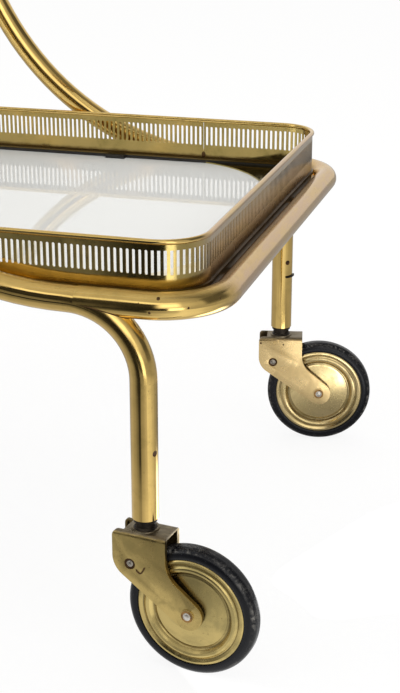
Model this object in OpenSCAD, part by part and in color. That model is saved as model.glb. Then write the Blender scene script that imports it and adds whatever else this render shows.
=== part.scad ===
// Two-tier bar cart in bent brass tube with pierced galleries, glass shelves and swivel casters.
// Millimetres, +X along the length, front towards -Y, +Z up, origin on the floor under the centre.

/* [Frame] */
// Outside diameter of every frame tube
tube_d = 20; // [16:0.5:24]
// Wall of the frame tube
tube_wall = 1.5; // [1:0.1:2.5]
// Distance between the front and back leg axes
leg_spacing_y = 436; // [340:2:520]
// Radius of the big side arcs, along the tube's middle
arc_r = 262; // [220:1:300]
// Gap between the left and right arcs where they come closest
centre_gap = 2; // [1:0.5:6]
// Radius of the bend at the top of each leg, along the tube's middle
leg_bend_r = 56; // [45:1:70]
// Overhang of the end of a bow beyond the leg axis, along the tube's middle
bow_overhang = 49; // [40:1:60]
// Corner radius of a bow, along the tube's middle
bow_corner_r = 48; // [40:1:60]
// Height of the lower bow's middle above the floor
lower_ring_z = 282; // [250:1:330]
// Height of the open end of each leg above the floor
leg_end_z = 119; // [115:1:130]
// Length of leg bend left uncut where a bow's coped end stops
cope_land = 8; // [6:0.5:14]
// Height of the brazed web between the arcs
web_h = 36; // [20:1:60]
// Depth of the brazed web between the arcs
web_t = 13; // [8:0.5:16]

/* [Tray] */
// Gap between the tray and the tubes round it
tray_gap = 3; // [2.5:0.1:5]
// Thickness of the pierced strip
strip_t = 1; // [0.8:0.1:1.6]
// Height of the pierced strip
strip_h = 35; // [28:1:45]
// Height of the glass channel's top above the middle of the bow
channel_top = 6; // [4:0.5:9]
// Height of the glass channel
channel_h = 10.5; // [9:0.5:14]
// Sheet thickness of the glass channel
channel_t = 1.2; // [1:0.1:2]
// Width of the channel's lips
channel_lip = 6; // [5:0.5:9]
// Radius of the bead on top of the strip
bead_r = 2; // [1.5:0.1:2.4]
// Distance from one slot to the next
slot_pitch = 4.51; // [3.5:0.01:8]
// Width of a slot
slot_w = 2.2; // [1.4:0.1:2.8]
// Height of a slot
slot_h = 18; // [12:1:24]
// Solid strip below the slots
slot_foot = 12; // [8:0.5:16]
// Half length of a straight side strip, from the centre to its seam
seam_x = 252; // [200:1:290]
// Slit at the open seam of the gallery, on the right of the back side
seam_gap = 0.6; // [0.2:0.1:1]
// Plain strip left beside the open seam
seam_margin = 0.8; // [0:0.1:3]
// Thickness of the glass shelf
glass_t = 5; // [4:0.5:6]
// Gap between the edge of the glass and the channel
glass_gap = 1; // [0.5:0.1:2]
// Length of a dark pad between glass and channel
pad_len = 19; // [10:1:30]
// Distance of the pads from the middle of the cart
pad_x = 165; // [100:1:230]
// Reach of a pad beyond the channel's lip
pad_reach = 5; // [3:0.5:8]
// Radius of the concave edge of a corner gusset
gusset_r = 116; // [80:1:140]
// Distance of that edge's centre from the end of the tray
gusset_back_x = 145.5; // [110:0.5:170]
// Distance of that edge's centre from the side of the tray
gusset_back_y = 115.5; // [90:0.5:140]
// Slope of the gusset's straight edge, in degrees
gusset_slope = 57; // [45:1:70]
// Thickness of a corner gusset
gusset_t = 1.2; // [0.8:0.1:2]
// Width of a rest that carries the tray
rest_w = 14; // [10:1:24]
// Thickness of a rest
rest_t = 2; // [1.5:0.1:4]
// Distance of the end rests from the cart's middle line
rest_y = 110; // [60:1:140]

/* [Caster] */
// Outside radius of the tyre
wheel_r = 51.5; // [45:0.5:55]
// Radius of the tyre's shoulders
tyre_r = 6.2; // [5:0.1:7]
// Half width of the tyre's flat tread
tread_half = 1.8; // [0.5:0.1:2.5]
// Height of the tyre outside the brass hub discs
tyre_rise = 8.7; // [8:0.1:11]
// Half width over the hub discs
hub_half_w = 8.3; // [7.5:0.1:8.5]
// Width of a disc's rim, outside its fine groove
rim_w = 4.8; // [4:0.1:6]
// Distance from the fine groove inwards to the round ridge
ridge_step = 3; // [2.5:0.1:4]
// Distance from the round ridge inwards to the deep moat
moat_step = 4.6; // [4:0.1:6]
// Depth of the moat below the ridge
moat_depth = 3.7; // [2:0.1:4]
// Rise of the disc's centre, from the moat to the bush
cone_rise = 2.8; // [1:0.1:3]
// Sheet thickness of a hub disc
disc_t = 1.2; // [0.8:0.1:1.6]
// Distance of the axle behind the swivel axis
trail = 39.2; // [30:0.1:44]
// Width over the fork's cheeks
fork_w = 25; // [22:0.5:30]
// Sheet thickness of the fork
fork_t = 2; // [1.5:0.1:2.6]
// Reach of the fork ahead of the swivel axis
fork_front = 21.5; // [18:0.5:26]
// Reach of the fork's top behind the swivel axis
fork_back = 21.5; // [18:0.5:24]
// Reach of the top plate ahead of the swivel axis, short of the cheeks
plate_front = 13.5; // [12.5:0.5:18]
// Depth of the fork's turned-in edge
rim_depth = 1.8; // [1:0.1:1.9]
// Height of the fork's top plate above the floor
fork_top_z = 110; // [106:0.5:114]
// Outside radius of the fold between top plate and cheek
fold_r = 4; // [3:0.5:6]
// Radius of the fork arm's rounded end
arm_r = 11.7; // [9:0.1:14]
// Radius of the stem
stem_r = 4; // [3:0.1:5]
// Length of stem inside the leg
stem_len = 45; // [30:1:60]
// Radius of the dark collar between leg and fork
collar_r = 8.9; // [7:0.1:9.5]
// Radius of the axle
axle_r = 3; // [2.5:0.1:4]
// Outside radius of the bush on the axle
bush_r = 5.5; // [4.5:0.1:7]
// Radial clearance of each running fit
run_fit = 0.05; // [0.02:0.01:0.09]
// Side play of the wheel and lift of the collar under the leg
side_play = 0.4; // [0.3:0.1:0.8]
// Outward turn at rest of the front right and back left casters, in degrees
front_turn = 8.25; // [0:0.25:40]
// Outward turn at rest of the back right and front left casters, in degrees
back_turn = 12; // [0:0.25:40]
// Length of the stem socket inside a leg
socket_len = 76; // [72:1:90]
// Height of the socket screw on a front leg
front_screw_z = 172; // [165:1:186]
// Height of the socket screw on a back leg
back_screw_z = 187; // [180:1:190]
// Height of the wire clip on a back leg
clip_z = 172.5; // [166:0.5:176]
// Radius of the clip's wire
clip_r = 0.9; // [0.6:0.1:1.2]

/* [Hidden] */
// Everything below follows from the sizes above
$fn = 48;
eps = 0.5;
leg_y = leg_spacing_y / 2;
tube_r = tube_d / 2;
bore_r = tube_r - tube_wall;
arc_x = centre_gap / 2 + tube_r + arc_r;
leg_x = arc_x + leg_bend_r;
bow_end_x = leg_x + bow_overhang;
upper_ring_z = lower_ring_z + 2 * arc_r;
arc_mid_z = lower_ring_z + arc_r;
bend_z = lower_ring_z - leg_bend_r;

tray_x = bow_end_x - tube_r - tray_gap;
tray_y = leg_y - tube_r - tray_gap;
tray_corner_r = bow_corner_r - tube_r - tray_gap;
channel_bottom = channel_top - channel_h;
glass_bottom = channel_bottom + channel_t;
glass_top = glass_bottom + glass_t;
strip_bottom = channel_top;
strip_top = strip_bottom + strip_h;
bead_z = strip_top + 1;
glass_inset = channel_t + glass_gap;
gasket_t = channel_top - channel_t - glass_top;
gasket_w = channel_lip - channel_t - 0.6;
end_flat = tray_y - tray_corner_r;
flat_x = tray_x - tray_corner_r;

axle_z = wheel_r;
hub_r = wheel_r - tyre_rise;
rim_groove_r = hub_r - rim_w;
ridge_r = rim_groove_r - ridge_step;
moat_r = ridge_r - moat_step;
fork_half_w = fork_w / 2;
cheek_in = fork_half_w - fork_t;
bush_half = cheek_in - side_play;
boss_h = 1;
boss_r = collar_r + 1.6;
neck_r = collar_r - 1.3;
collar_ring_h = 2.1;
collar_foot_h = 1.4;
collar_top = leg_end_z - side_play;
rivet_rise = 32.8;
rivet_gap = 5.404;
rivet_z = axle_z + rivet_rise;
rivet_u = trail - sqrt(pow(wheel_r + rivet_gap, 2) - pow(rivet_rise, 2));
rivet_r = 2.4;
dimple_r = 4.4;
dimple_depth = fork_t / 2;
ferrule_h = 0.8;
lower_edge_turn = 35.1;
upper_edge_turn = 38.5;
heel_r = 18;
crook_r = 22;
ear_r = 4.5;
disc_edge_drop = 1.5;
groove_depth = 1.2;
crest_w = hub_half_w - 0.3;
moat_w = hub_half_w - moat_depth;
shoulder_rise = 0.5;
tread_flank = crest_w - max(groove_depth, disc_edge_drop) - disc_t - 0.1;
socket_wall_gap = 0.1;
front_screw_turn = 23;
back_screw_turn = 46;
screw_r = 2.3;
clip_from = -57;
clip_to = 14;

// Heading of a caster's trailing wheel
function rest_turn(sx, sy) = sx * sy < 0 ? front_turn : back_turn;
function heading(sx, sy) = sx > 0 ? sy * rest_turn(sx, sy) : 180 - sy * rest_turn(sx, sy);

// Points on an arc from angle a0 to angle a1
function arc_points(centre, r, a0, a1, n = 8) =
    [for (i = [0 : n]) centre + r * [cos(a0 + (a1 - a0) * i / n), sin(a0 + (a1 - a0) * i / n)]];

// Part of a ring in the XZ plane, from angle a0 upwards through the given turn
module upright_ring(ring_r, section_r, a0, turn)
    rotate([90, 0, 0])
        rotate([0, 0, a0])
            rotate_extrude(angle = turn, $fn = 144)
                translate([ring_r, 0])
                    circle(section_r);

// Part of a ring lying flat
module flat_ring(ring_r, section_r, a0, turn)
    rotate([0, 0, a0])
        rotate_extrude(angle = turn, $fn = 96)
            translate([ring_r, 0])
                circle(section_r);

// Leg, its bend and the big arc as one run of the given section radius, in the plane y = 0
module upright_run(section_r, past_leg = 0, past_arc = 0) {
    translate([leg_x, 0, leg_end_z - past_leg])
        cylinder(r = section_r, h = bend_z - leg_end_z + past_leg);
    translate([arc_x, 0, bend_z])
        upright_ring(leg_bend_r, section_r, 0, 90);
    translate([arc_x, 0, arc_mid_z])
        upright_ring(arc_r, section_r, 90, 180);
    if (past_arc > 0)
        translate([arc_x, 0, upper_ring_z])
            rotate([0, 90, 0])
                cylinder(r = section_r, h = past_arc);
}

// One bent tube that is a leg below and a side arc above
module upright(sx, sy)
    color("#b8924a")
        difference() {
            scale([sx, 1, 1])
                translate([0, sy * leg_y, 0])
                    difference() {
                        upright_run(tube_r);
                        upright_run(bore_r, eps, eps);
                    }
            translate([sx * leg_x, sy * leg_y, leg_end_z])
                screw_shaft(sx, sy, 2 * tube_wall);
        }

// Bow round one end of the cart, lying flat, its arms starting at x = start
module bow_run(section_r, start, past = 0) {
    arm = bow_end_x - bow_corner_r - start;
    side = leg_y - bow_corner_r;
    for (sy = [-1, 1]) {
        translate([start - past, sy * leg_y, 0])
            rotate([0, 90, 0])
                cylinder(r = section_r, h = arm + past);
        translate([bow_end_x - bow_corner_r, sy * side, 0])
            flat_ring(bow_corner_r, section_r, sy > 0 ? 0 : -90, 90);
    }
    translate([bow_end_x, -side, 0])
        rotate([-90, 0, 0])
            cylinder(r = section_r, h = 2 * side);
}

// Lower bow, coped to sit on the bends of two legs
module lower_bow(sx)
    color("#b8924a")
        scale([sx, 1, 1])
            difference() {
                translate([0, 0, lower_ring_z])
                    bow_run(tube_r, arc_x + cope_land);
                translate([0, 0, lower_ring_z])
                    bow_run(bore_r, arc_x + cope_land, eps);
                for (sy = [-1, 1])
                    translate([0, sy * leg_y, 0])
                        upright_run(tube_r);
            }

// Upper bow, butted to the upper ends of two arcs
module upper_bow(sx)
    color("#b8924a")
        scale([sx, 1, 1])
            translate([0, 0, upper_ring_z])
                difference() {
                    bow_run(tube_r, arc_x);
                    bow_run(bore_r, arc_x, eps);
                }

// Brazed webs that fill the nip between the left and right arcs
module centre_webs()
    color("#a5803c")
        for (sy = [-1, 1])
            translate([0, sy * leg_y, 0])
                difference() {
                    translate([0, 0, arc_mid_z])
                        cube([tube_d, web_t, web_h], center = true);
                    for (sx = [-1, 1])
                        scale([sx, 1, 1])
                            translate([arc_x, 0, arc_mid_z])
                                upright_ring(arc_r, tube_r, 150, 60);
                }

// Small brackets brazed inside a bow, under the tray's channel
module tray_rests(ring_z) {
    reach = tray_gap + channel_lip;
    rest_x = bow_end_x - bow_corner_r - rest_w / 2;
    top = ring_z + channel_bottom;
    color("#a5803c")
        for (sx = [-1, 1])
            scale([sx, 1, 1])
                difference() {
                    union() {
                        for (sy = [-1, 1]) {
                            translate([rest_x - rest_w / 2, sy > 0 ? leg_y - tube_r - reach : -leg_y, top - rest_t])
                                cube([rest_w, tube_r + reach, rest_t]);
                            translate([bow_end_x - tube_r - reach, sy * rest_y - rest_w / 2, top - rest_t])
                                cube([tube_r + reach, rest_w, rest_t]);
                        }
                    }
                    translate([0, 0, ring_z])
                        bow_run(tube_r, arc_x);
                    if (ring_z == lower_ring_z)
                        for (sy = [-1, 1])
                            translate([0, sy * leg_y, 0])
                                upright_run(tube_r);
                }
}

// Place for one socket screw, seen from the open end of its leg
function screw_turn(sy) = sy < 0 ? front_screw_turn : back_screw_turn;
function screw_angle(sx, sy) = sx > 0 ? -screw_turn(sy) : 180 + screw_turn(sy);
function screw_height(sy) = sy < 0 ? front_screw_z : back_screw_z;

// Shaft of a socket screw, from inside the socket to the given distance past the tube's bore
module screw_shaft(sx, sy, past)
    translate([0, 0, screw_height(sy) - leg_end_z])
        rotate([0, 90, screw_angle(sx, sy)])
            translate([0, 0, stem_r + 1])
                cylinder(r = screw_r, h = bore_r + past - stem_r - 1);

// Tube inserts that hold the caster stems
module stem_sockets()
    color("#6f6a5c")
        for (sx = [-1, 1], sy = [-1, 1])
            translate([sx * leg_x, sy * leg_y, leg_end_z])
                difference() {
                    cylinder(r = bore_r - socket_wall_gap, h = socket_len);
                    translate([0, 0, -eps])
                        cylinder(r = stem_r + run_fit, h = socket_len + 2 * eps);
                    screw_shaft(sx, sy, tube_wall);
                }

// Grub screws through the leg wall into the sockets
module socket_screws()
    color("#4a4338")
        for (sx = [-1, 1], sy = [-1, 1])
            translate([sx * leg_x, sy * leg_y, leg_end_z])
                screw_shaft(sx, sy, tube_wall - 0.4);

// Wire clips that grip the back legs, each with a turned-out end
module leg_clips() {
    ring = tube_r + clip_r;
    color("#3a3328")
        for (sx = [-1, 1])
            scale([sx, 1, 1])
                translate([leg_x, leg_y, clip_z]) {
                    flat_ring(ring, clip_r, clip_from, clip_to - clip_from);
                    rotate([0, 0, clip_to])
                        translate([ring, 0, 0])
                            rotate([0, 90, 0])
                                cylinder(r = clip_r + 0.3, h = 1.6, center = true);
                }
}

// Rounded rectangle that follows the tray's outside, grown by the given amount
module tray_outline(grow) {
    r = tray_corner_r + grow;
    square([2 * (tray_x + grow - r), 2 * (tray_y + grow)], center = true);
    square([2 * (tray_x + grow), 2 * (tray_y + grow - r)], center = true);
    for (sx = [-1, 1], sy = [-1, 1])
        translate([sx * (tray_x - tray_corner_r), sy * (tray_y - tray_corner_r)])
            circle(r, $fn = 96);
}

// Upright band round the tray between two offsets of its outside
module tray_band(outer, inner, bottom, height)
    translate([0, 0, bottom])
        linear_extrude(height)
            difference() {
                tray_outline(outer);
                tray_outline(inner);
            }

// Number of slots on a stretch of strip
function slots_on(length) = round(length / slot_pitch);

// Flat pierced strip on y = 0 from x = start to x = stop, left plain for a margin at either end
module pierced_strip(start, stop, start_margin = 0, stop_margin = 0) {
    run = stop - start - start_margin - stop_margin;
    count = slots_on(run);
    translate([0, strip_t, 0])
        rotate([90, 0, 0])
            linear_extrude(strip_t)
                difference() {
                    translate([start, 0])
                        square([stop - start, strip_h]);
                    for (i = [0 : count - 1])
                        translate([start + start_margin + (i + 0.5) * run / count, slot_foot]) {
                            translate([-slot_w / 2, slot_w / 2])
                                square([slot_w, slot_h - slot_w]);
                            for (end_z = [slot_w / 2, slot_h - slot_w / 2])
                                translate([0, end_z])
                                    circle(slot_w / 2, $fn = 16);
                        }
                }
}

// Long side strips of a gallery; the back one ends at the open seam
module gallery_sides(ring_z)
    color("#a8863f")
        for (sy = [-1, 1])
            translate([0, sy > 0 ? tray_y - strip_t : -tray_y, ring_z + strip_bottom])
                pierced_strip(-seam_x, seam_x, 0, sy > 0 ? seam_margin : 0);

// Curved corner of a gallery strip, with its slots
module pierced_corner() {
    count = slots_on((tray_corner_r - strip_t / 2) * PI / 2);
    difference() {
        linear_extrude(strip_h)
            difference() {
                intersection() {
                    circle(tray_corner_r, $fn = 96);
                    square(tray_corner_r);
                }
                circle(tray_corner_r - strip_t, $fn = 96);
            }
        for (i = [0 : count - 1])
            rotate([0, 0, (i + 0.5) * 90 / count])
                translate([tray_corner_r - strip_t - eps, -slot_w / 2, slot_foot])
                    cube([strip_t + 2 * eps, slot_w, slot_h]);
    }
}

// Strips bent round the two ends of a gallery, with one open seam on the right of the back side
module gallery_ends(ring_z)
    color("#a8863f")
        for (sx = [-1, 1])
            scale([sx, 1, 1])
                translate([0, 0, ring_z + strip_bottom]) {
                    for (sy = [-1, 1])
                        scale([1, sy, 1]) {
                            open = sx > 0 && sy > 0;
                            translate([0, tray_y - strip_t, 0])
                                pierced_strip(seam_x + (open ? seam_gap : 0), flat_x, open ? seam_margin : 0);
                            translate([flat_x, end_flat, 0])
                                pierced_corner();
                        }
                    translate([tray_x, 0, 0])
                        rotate([0, 0, 90])
                            pierced_strip(-end_flat, end_flat);
                }

// Round bead along the top edge of a gallery
module gallery_bead(ring_z) {
    middle = tray_corner_r - strip_t / 2;
    side_x = tray_x - strip_t / 2;
    side_y = tray_y - strip_t / 2;
    color("#c39c4d")
        translate([0, 0, ring_z + bead_z])
            difference() {
                union()
                    for (s = [-1, 1]) {
                        translate([-flat_x, s * side_y, 0])
                            rotate([0, 90, 0])
                                cylinder(r = bead_r, h = 2 * flat_x);
                        translate([s * side_x, -end_flat, 0])
                            rotate([-90, 0, 0])
                                cylinder(r = bead_r, h = 2 * end_flat);
                        for (sy = [-1, 1])
                            translate([s * flat_x, sy * end_flat, 0])
                                flat_ring(middle, bead_r, corner_start(s, sy), 90);
                    }
                translate([0, 0, strip_top - bead_z - bead_r])
                    tray_band(0, -strip_t, 0, bead_r);
            }
}

// Start angle of the quarter circle at a corner
function corner_start(sx, sy) = sx > 0 ? (sy > 0 ? 0 : -90) : (sy > 0 ? 90 : 180);

// Channel round the glass, open inwards, with a fine bead outside
module glass_channel(ring_z)
    color("#a8863f")
        translate([0, 0, ring_z]) {
            tray_band(0, -channel_t, channel_bottom, channel_h);
            tray_band(-channel_t, -channel_lip, channel_top - channel_t, channel_t);
            tray_band(-channel_t, -channel_lip, channel_bottom, channel_t);
            tray_band(channel_t, 0, channel_top - channel_t, 2 * channel_t);
        }

// Black glazing strip between the glass and the channel's upper lip
module glass_gasket(ring_z)
    color("#15140f")
        translate([0, 0, ring_z])
            tray_band(-channel_t, -channel_t - gasket_w, glass_top, gasket_t);

// Dark pads that show under the channel's lip
module glass_pads(ring_z)
    color("#15140f")
        for (sx = [-1, 1], sy = [-1, 1])
            scale([1, sy, 1])
                translate([sx * pad_x - pad_len / 2, tray_y - channel_lip - pad_reach, ring_z + glass_top])
                    cube([pad_len, pad_reach + channel_lip - channel_t - gasket_w, gasket_t]);

// Flat brass plates in the corners, on the glass, with a concave inner edge
module corner_gussets(ring_z) {
    centre = [tray_x - gusset_back_x, tray_y - gusset_back_y];
    bend = centre + gusset_r * [cos(90 - gusset_slope), sin(90 - gusset_slope)];
    straight = 2 * gusset_back_x;
    color("#8f7a3c")
        translate([0, 0, ring_z + glass_top])
            for (sx = [-1, 1], sy = [-1, 1])
                scale([sx, sy, 1])
                    linear_extrude(gusset_t)
                        difference() {
                            intersection() {
                                tray_outline(-channel_t - gasket_w);
                                square([tray_x, tray_y]);
                            }
                            translate(centre)
                                intersection() {
                                    circle(gusset_r, $fn = 96);
                                    square(gusset_r);
                                }
                            polygon([
                                [0, 0], [0, tray_y], [centre[0], tray_y], centre, bend,
                                bend + straight * [cos(gusset_slope), -sin(gusset_slope)]
                            ]);
                        }
}

// Glass shelf
module glass_shelf(ring_z)
    color("#dfe8e6", 0.5)
        translate([0, 0, ring_z + glass_bottom])
            linear_extrude(glass_t)
                tray_outline(-glass_inset);

// Frame of one caster: origin on its swivel axis at the floor, trailing along +X
module at_caster(sx, sy)
    translate([sx * leg_x, sy * leg_y, 0])
        rotate([0, 0, heading(sx, sy)])
            children();

// Stem with its collar above the fork and its riveted head below
module caster_stem()
    color("#332f27") {
        translate([0, 0, fork_top_z - fork_t - 2])
            cylinder(r = stem_r + 2.5, h = 2);
        translate([0, 0, fork_top_z - fork_t])
            cylinder(r = stem_r, h = collar_top + stem_len - fork_top_z + fork_t);
        translate([0, 0, fork_top_z + boss_h])
            cylinder(r1 = collar_r, r2 = neck_r, h = collar_foot_h);
        translate([0, 0, fork_top_z + boss_h])
            cylinder(r = neck_r, h = collar_top - fork_top_z - boss_h);
        translate([0, 0, collar_top - collar_ring_h])
            cylinder(r = collar_r, h = collar_ring_h);
    }

// Side view of the fork: u along the trail, z up, drawn in from its edge by the given inset
module fork_outline(inset = 0) {
    axle = [trail, axle_z];
    low = [-sin(lower_edge_turn), -cos(lower_edge_turn)];
    high = [sin(upper_edge_turn), cos(upper_edge_turn)];
    heel_u = heel_r - fork_front;
    heel_z = (low * axle + arm_r - heel_r - low[0] * heel_u) / low[1];
    crook_u = fork_back + crook_r;
    crook_z = (high * axle + arm_r + crook_r - high[0] * crook_u) / high[1];
    polygon(concat(
        [[fork_back - inset, fork_top_z - inset]],
        arc_points([ear_r - fork_front, fork_top_z - ear_r], ear_r - inset, 90, 180, 6),
        arc_points([heel_u, heel_z], heel_r - inset, 180, 270 - lower_edge_turn),
        arc_points(axle, arm_r - inset, 270 - lower_edge_turn - 360, 90 - upper_edge_turn, 16),
        arc_points([crook_u, crook_z], crook_r + inset, 270 - upper_edge_turn, 180)
    ));
}

// Folded section of the fork: w across the trail, z up
module fork_section() {
    inner_r = fold_r - fork_t;
    polygon(concat(
        [[fork_half_w, 0]],
        arc_points([fork_half_w - fold_r, fork_top_z - fold_r], fold_r, 0, 90),
        arc_points([fold_r - fork_half_w, fork_top_z - fold_r], fold_r, 90, 180),
        [[-fork_half_w, 0], [-cheek_in, 0]],
        arc_points([fold_r - fork_half_w, fork_top_z - fold_r], inner_r, 180, 90),
        arc_points([fork_half_w - fold_r, fork_top_z - fold_r], inner_r, 90, 0),
        [[cheek_in, 0]]
    ));
}

// Turned-in edge along the outline of one cheek
module fork_rim()
    rotate([90, 0, 0])
        linear_extrude(rim_depth + fork_t / 2)
            difference() {
                fork_outline();
                fork_outline(fork_t);
                translate([-fork_front, fork_top_z - fork_t])
                    square([fork_front + fork_back, 2 * fold_r]);
            }

// Folded sheet fork with its turned-in edges, boss, dimples and flared axle rings
module caster_fork()
    color("#a88a45")
        difference() {
            union() {
                difference() {
                    intersection() {
                        translate([-wheel_r, 0, 0])
                            rotate([90, 0, 90])
                                linear_extrude(3 * wheel_r)
                                    fork_section();
                        translate([0, fork_w, 0])
                            rotate([90, 0, 0])
                                linear_extrude(2 * fork_w)
                                    fork_outline();
                    }
                    translate([-fork_w - plate_front, rim_depth - cheek_in, fork_top_z - fold_r])
                        cube([fork_w, 2 * (cheek_in - rim_depth), 2 * fold_r]);
                }
                for (front = [rim_depth - cheek_in, cheek_in + fork_t / 2])
                    translate([0, front, 0])
                        fork_rim();
                translate([0, 0, fork_top_z - fork_t / 2])
                    cylinder(r = boss_r, h = boss_h + fork_t / 2);
                for (side = [-1, 1])
                    translate([trail, side * (fork_half_w - fork_t / 2), axle_z])
                        rotate([-90 * side, 0, 0])
                            cylinder(r = axle_r + 2.4, h = ferrule_h + fork_t / 2);
            }
            translate([0, 0, fork_top_z - 2 * fork_t])
                cylinder(r = stem_r, h = 4 * fork_t);
            translate([trail, fork_w, axle_z])
                rotate([90, 0, 0])
                    cylinder(r = axle_r, h = 2 * fork_w);
            translate([rivet_u, fork_w, rivet_z])
                rotate([90, 0, 0])
                    cylinder(r = rivet_r, h = 2 * fork_w);
            for (side = [-1, 1])
                translate([rivet_u, side * (fork_half_w - dimple_depth), rivet_z])
                    rotate([-90 * side, 0, 0])
                        cylinder(r = dimple_r, h = fork_t);
        }

// Cross rivet with its spacer between the cheeks
module caster_fork_rivet()
    color("#9b958a")
        translate([rivet_u, 0, rivet_z])
            rotate([90, 0, 0]) {
                cylinder(r = rivet_r, h = fork_w - 0.4, center = true);
                cylinder(r = rivet_r + 1.6, h = 2 * cheek_in, center = true);
            }

// Axle riveted through both cheeks
module caster_axle()
    color("#b9b6ae")
        translate([trail, 0, axle_z])
            rotate([90, 0, 0])
                cylinder(r = axle_r, h = fork_w + 2 * ferrule_h + 0.8, center = true);

// Pressed brass discs on both sides of the wheel
module caster_hub_discs() {
    wall = ridge_r - moat_r;
    dip = rim_groove_r - ridge_r;
    rim = hub_r - rim_groove_r;
    face = [
        [bush_r, moat_w + cone_rise], [bush_r * 1.6, moat_w + cone_rise - 0.4],
        [moat_r * 0.89, moat_w + shoulder_rise + 0.1], [moat_r * 0.94, moat_w + shoulder_rise],
        [moat_r * 0.975, moat_w + 0.1], [moat_r, moat_w],
        [moat_r + wall * 0.17, moat_w + moat_depth * 0.16], [moat_r + wall * 0.4, moat_w + moat_depth * 0.54],
        [moat_r + wall * 0.65, moat_w + moat_depth * 0.89], [ridge_r, hub_half_w],
        [ridge_r + dip * 0.4, crest_w], [ridge_r + dip * 0.75, crest_w - groove_depth * 0.7],
        [rim_groove_r, crest_w - groove_depth], [rim_groove_r + rim * 0.25, crest_w - groove_depth / 2],
        [rim_groove_r + rim * 0.5, crest_w], [rim_groove_r + rim * 0.75, crest_w],
        [rim_groove_r + rim * 0.95, crest_w - disc_edge_drop * 0.4], [hub_r, crest_w - disc_edge_drop]
    ];
    back = [for (i = [len(face) - 1 : -1 : 0]) face[i] - [0, disc_t]];
    color("#b2923f")
        translate([trail, 0, axle_z])
            for (side = [-90, 90])
                rotate([side, 0, 0])
                    rotate_extrude($fn = 96)
                        polygon(concat(face, back));
}

// Spacer bush that turns on the axle
module caster_hub_bush()
    color("#8d8a80")
        translate([trail, 0, axle_z])
            rotate([90, 0, 0])
                difference() {
                    cylinder(r = bush_r, h = 2 * bush_half, center = true);
                    cylinder(r = axle_r + run_fit, h = fork_w, center = true);
                }

// Black tyre with round shoulders, squared between the discs
module caster_tyre() {
    seat_r = hub_r - 5;
    color("#1d1d1f")
        translate([trail, 0, axle_z])
            rotate([90, 0, 0])
                rotate_extrude($fn = 96)
                    difference() {
                        union() {
                            for (side = [-1, 1])
                                translate([wheel_r - tyre_r, side * tread_half])
                                    circle(tyre_r);
                            translate([wheel_r - 2 * tyre_r, -tread_half])
                                square([2 * tyre_r, 2 * tread_half]);
                            translate([seat_r, -tread_flank])
                                square([wheel_r - tyre_r - seat_r, 2 * tread_flank]);
                        }
                        for (side = [-1, 1])
                            translate([0, side > 0 ? tread_flank : -tread_flank - tyre_r])
                                square([hub_r + 0.2, tyre_r]);
                        translate([0, -2 * tyre_r])
                            square([seat_r, 4 * tyre_r]);
                    }
}

upright(1, -1);  // front_right_upright
upright(1, 1);  // back_right_upright
upright(-1, -1);  // front_left_upright
upright(-1, 1);  // back_left_upright
lower_bow(1);  // lower_right_bow
lower_bow(-1);  // lower_left_bow
upper_bow(1);  // upper_right_bow
upper_bow(-1);  // upper_left_bow
centre_webs();
tray_rests(lower_ring_z);  // lower_tray_rests
tray_rests(upper_ring_z);  // upper_tray_rests
stem_sockets();
socket_screws();
leg_clips();
gallery_sides(lower_ring_z);  // lower_gallery_sides
gallery_ends(lower_ring_z);  // lower_gallery_ends
gallery_bead(lower_ring_z);  // lower_gallery_bead
glass_channel(lower_ring_z);  // lower_glass_channel
glass_gasket(lower_ring_z);  // lower_glass_gasket
glass_pads(lower_ring_z);  // lower_glass_pads
corner_gussets(lower_ring_z);  // lower_corner_gussets
glass_shelf(lower_ring_z);  // lower_glass
gallery_sides(upper_ring_z);  // upper_gallery_sides
gallery_ends(upper_ring_z);  // upper_gallery_ends
gallery_bead(upper_ring_z);  // upper_gallery_bead
glass_channel(upper_ring_z);  // upper_glass_channel
glass_gasket(upper_ring_z);  // upper_glass_gasket
glass_pads(upper_ring_z);  // upper_glass_pads
corner_gussets(upper_ring_z);  // upper_corner_gussets
glass_shelf(upper_ring_z);  // upper_glass
at_caster(1, -1) caster_stem();  // front_right_stem
at_caster(1, -1) caster_fork();  // front_right_fork
at_caster(1, -1) caster_fork_rivet();  // front_right_fork_rivet
at_caster(1, -1) caster_axle();  // front_right_axle
at_caster(1, -1) caster_hub_discs();  // front_right_hub_discs
at_caster(1, -1) caster_hub_bush();  // front_right_hub_bush
at_caster(1, -1) caster_tyre();  // front_right_tyre
at_caster(1, 1) caster_stem();  // back_right_stem
at_caster(1, 1) caster_fork();  // back_right_fork
at_caster(1, 1) caster_fork_rivet();  // back_right_fork_rivet
at_caster(1, 1) caster_axle();  // back_right_axle
at_caster(1, 1) caster_hub_discs();  // back_right_hub_discs
at_caster(1, 1) caster_hub_bush();  // back_right_hub_bush
at_caster(1, 1) caster_tyre();  // back_right_tyre
at_caster(-1, -1) caster_stem();  // front_left_stem
at_caster(-1, -1) caster_fork();  // front_left_fork
at_caster(-1, -1) caster_fork_rivet();  // front_left_fork_rivet
at_caster(-1, -1) caster_axle();  // front_left_axle
at_caster(-1, -1) caster_hub_discs();  // front_left_hub_discs
at_caster(-1, -1) caster_hub_bush();  // front_left_hub_bush
at_caster(-1, -1) caster_tyre();  // front_left_tyre
at_caster(-1, 1) caster_stem();  // back_left_stem
at_caster(-1, 1) caster_fork();  // back_left_fork
at_caster(-1, 1) caster_fork_rivet();  // back_left_fork_rivet
at_caster(-1, 1) caster_axle();  // back_left_axle
at_caster(-1, 1) caster_hub_discs();  // back_left_hub_discs
at_caster(-1, 1) caster_hub_bush();  // back_left_hub_bush
at_caster(-1, 1) caster_tyre();  // back_left_tyre
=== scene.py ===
"""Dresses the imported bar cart: brass tube frame, pierced trays, glass shelves and casters."""

import logging
import math
from dataclasses import dataclass, field
from enum import Enum
from functools import cached_property, partial, reduce
from typing import Optional, Sequence, Union

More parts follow.
